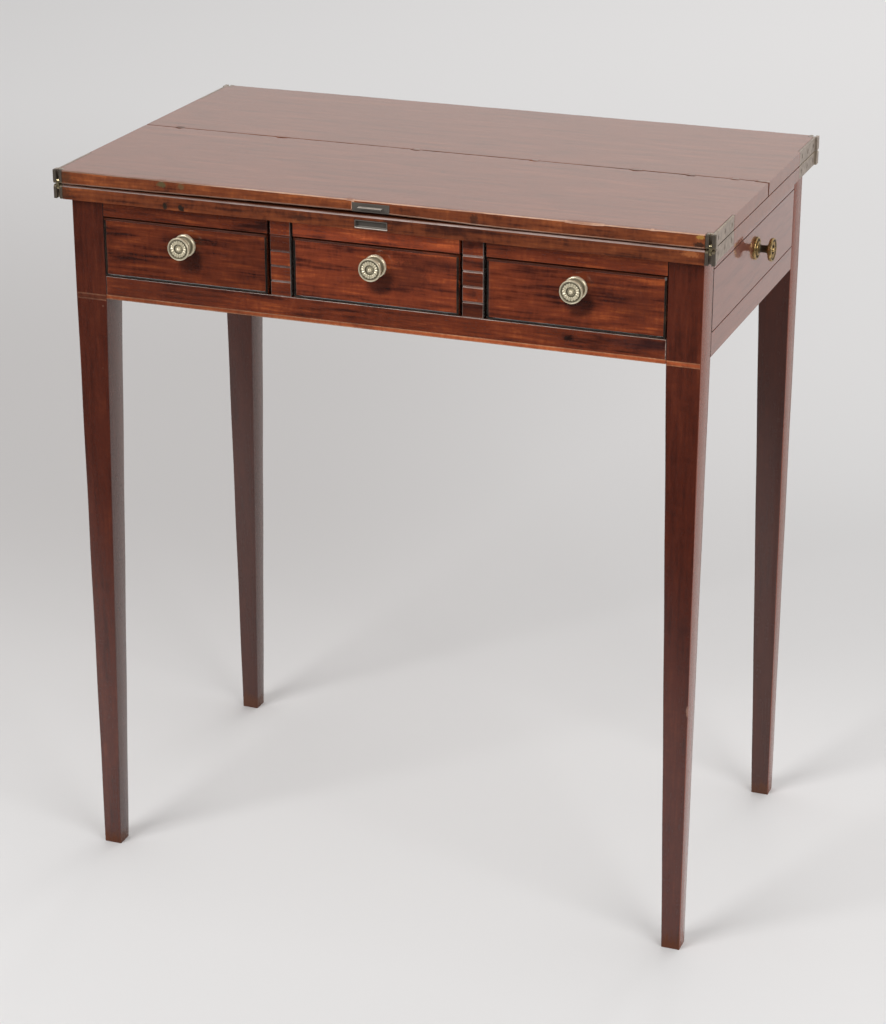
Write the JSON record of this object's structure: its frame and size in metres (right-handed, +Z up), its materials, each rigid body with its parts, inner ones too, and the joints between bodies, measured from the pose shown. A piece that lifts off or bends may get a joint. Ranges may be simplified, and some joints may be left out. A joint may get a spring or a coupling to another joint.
{
  "type": "flap-top occasional table",
  "caption": "Small mahogany table whose folded top opens to both sides on link hinges, with frieze drawers, pull-out lopers, turned knobs and square tapered legs.",
  "frame": {"origin": "on the floor, under the middle of the folded top's outline; the knobs on the front and the right-hand end put the bounding box's centre a few millimetres off it", "axes": "+Z up, +X towards the right-hand end, -Y out of the drawer fronts"},
  "size_m": [0.6475, 0.395, 0.711],
  "materials": {
    "top_wood": "old polished mahogany, satin, with fine open grain along the length",
    "frame_wood": "old polished mahogany, deep red-brown, darker in the corners",
    "inner_wood": "bare secondary wood, dull",
    "hinge_brass": "old brass, toned, with bright worn edges",
    "knob_brass": "pale stamped brass, dark in the recesses"
  },
  "bodies": {
    "table": {"top_board": "top_wood", "front_left_leg": "frame_wood", "front_right_leg": "frame_wood", "rear_left_leg": "frame_wood", "rear_right_leg": "frame_wood", "front_bottom_rail": "frame_wood", "front_top_rail_left": "frame_wood", "front_top_rail_middle": "frame_wood", "front_top_rail_right": "frame_wood", "back_rail": "frame_wood", "left_end_rail": "frame_wood", "right_end_rail": "frame_wood", "right_end_sham_front": "frame_wood", "right_end_knob": "knob_brass", "left_loper_inner_guide": "inner_wood", "left_loper_outer_guide": "inner_wood", "left_loper_bearer": "inner_wood", "right_loper_inner_guide": "inner_wood", "right_loper_outer_guide": "inner_wood", "right_loper_bearer": "inner_wood", "board_front_left_hinge_plate": "hinge_brass", "board_front_right_hinge_plate": "hinge_brass", "board_rear_left_hinge_plate": "hinge_brass", "board_rear_right_hinge_plate": "hinge_brass", "front_socket": "hinge_brass", "rear_socket": "hinge_brass"},
    "front_links": {"front_left_hinge_link": "hinge_brass", "front_right_hinge_link": "hinge_brass"},
    "front_flap": {"front_flap": "top_wood", "flap_front_left_hinge_plate": "hinge_brass", "flap_front_right_hinge_plate": "hinge_brass", "front_flap_tongue": "hinge_brass"},
    "rear_links": {"rear_left_hinge_link": "hinge_brass", "rear_right_hinge_link": "hinge_brass"},
    "rear_flap": {"rear_flap": "top_wood", "flap_rear_left_hinge_plate": "hinge_brass", "flap_rear_right_hinge_plate": "hinge_brass", "rear_flap_tongue": "hinge_brass"},
    "left_drawer": {"left_drawer_front": "frame_wood", "left_drawer_left_side": "inner_wood", "left_drawer_right_side": "inner_wood", "left_drawer_back": "inner_wood", "left_drawer_bottom": "inner_wood", "left_drawer_knob": "knob_brass"},
    "middle_drawer": {"middle_drawer_front": "frame_wood", "middle_drawer_left_side": "inner_wood", "middle_drawer_right_side": "inner_wood", "middle_drawer_back": "inner_wood", "middle_drawer_bottom": "inner_wood", "middle_drawer_knob": "knob_brass"},
    "right_drawer": {"right_drawer_front": "frame_wood", "right_drawer_left_side": "inner_wood", "right_drawer_right_side": "inner_wood", "right_drawer_back": "inner_wood", "right_drawer_bottom": "inner_wood", "right_drawer_knob": "knob_brass"},
    "front_left_loper": {"front_left_loper": "frame_wood"},
    "front_right_loper": {"front_right_loper": "frame_wood"},
    "rear_left_loper": {"rear_left_loper": "frame_wood"},
    "rear_right_loper": {"rear_right_loper": "frame_wood"}
  },
  "joints": [
    {"name": "front_link_hinge", "type": "hinge", "parent": "table", "child": "front_links", "pos_m": [0, -0.1885, 0.6943], "axis": [1, 0, 0], "range_deg": [0, 90]},
    {"name": "front_flap_hinge", "type": "hinge", "parent": "front_links", "child": "front_flap", "pos_m": [0, -0.1885, 0.7003], "axis": [1, 0, 0], "range_deg": [0, 90]},
    {"name": "rear_link_hinge", "type": "hinge", "parent": "table", "child": "rear_links", "pos_m": [0, 0.1885, 0.6943], "axis": [-1, 0, 0], "range_deg": [0, 90]},
    {"name": "rear_flap_hinge", "type": "hinge", "parent": "rear_links", "child": "rear_flap", "pos_m": [0, 0.1885, 0.7003], "axis": [-1, 0, 0], "range_deg": [0, 90]},
    {"name": "left_drawer_slide", "type": "slide", "parent": "table", "child": "left_drawer", "axis": [0, -1, 0], "range_m": [0, 0.23]},
    {"name": "middle_drawer_slide", "type": "slide", "parent": "table", "child": "middle_drawer", "axis": [0, -1, 0], "range_m": [0, 0.23]},
    {"name": "right_drawer_slide", "type": "slide", "parent": "table", "child": "right_drawer", "axis": [0, -1, 0], "range_m": [0, 0.23]},
    {"name": "front_left_loper_slide", "type": "slide", "parent": "table", "child": "front_left_loper", "axis": [0, -1, 0], "range_m": [0, 0.125]},
    {"name": "front_right_loper_slide", "type": "slide", "parent": "table", "child": "front_right_loper", "axis": [0, -1, 0], "range_m": [0, 0.125]},
    {"name": "rear_left_loper_slide", "type": "slide", "parent": "table", "child": "rear_left_loper", "axis": [0, 1, 0], "range_m": [0, 0.125]},
    {"name": "rear_right_loper_slide", "type": "slide", "parent": "table", "child": "rear_right_loper", "axis": [0, 1, 0], "range_m": [0, 0.125]}
  ],
  "couplings": [
    {"joint": "front_link_hinge", "follows": "front_flap_hinge", "ratio": 1},
    {"joint": "rear_link_hinge", "follows": "rear_flap_hinge", "ratio": 1}
  ]
}
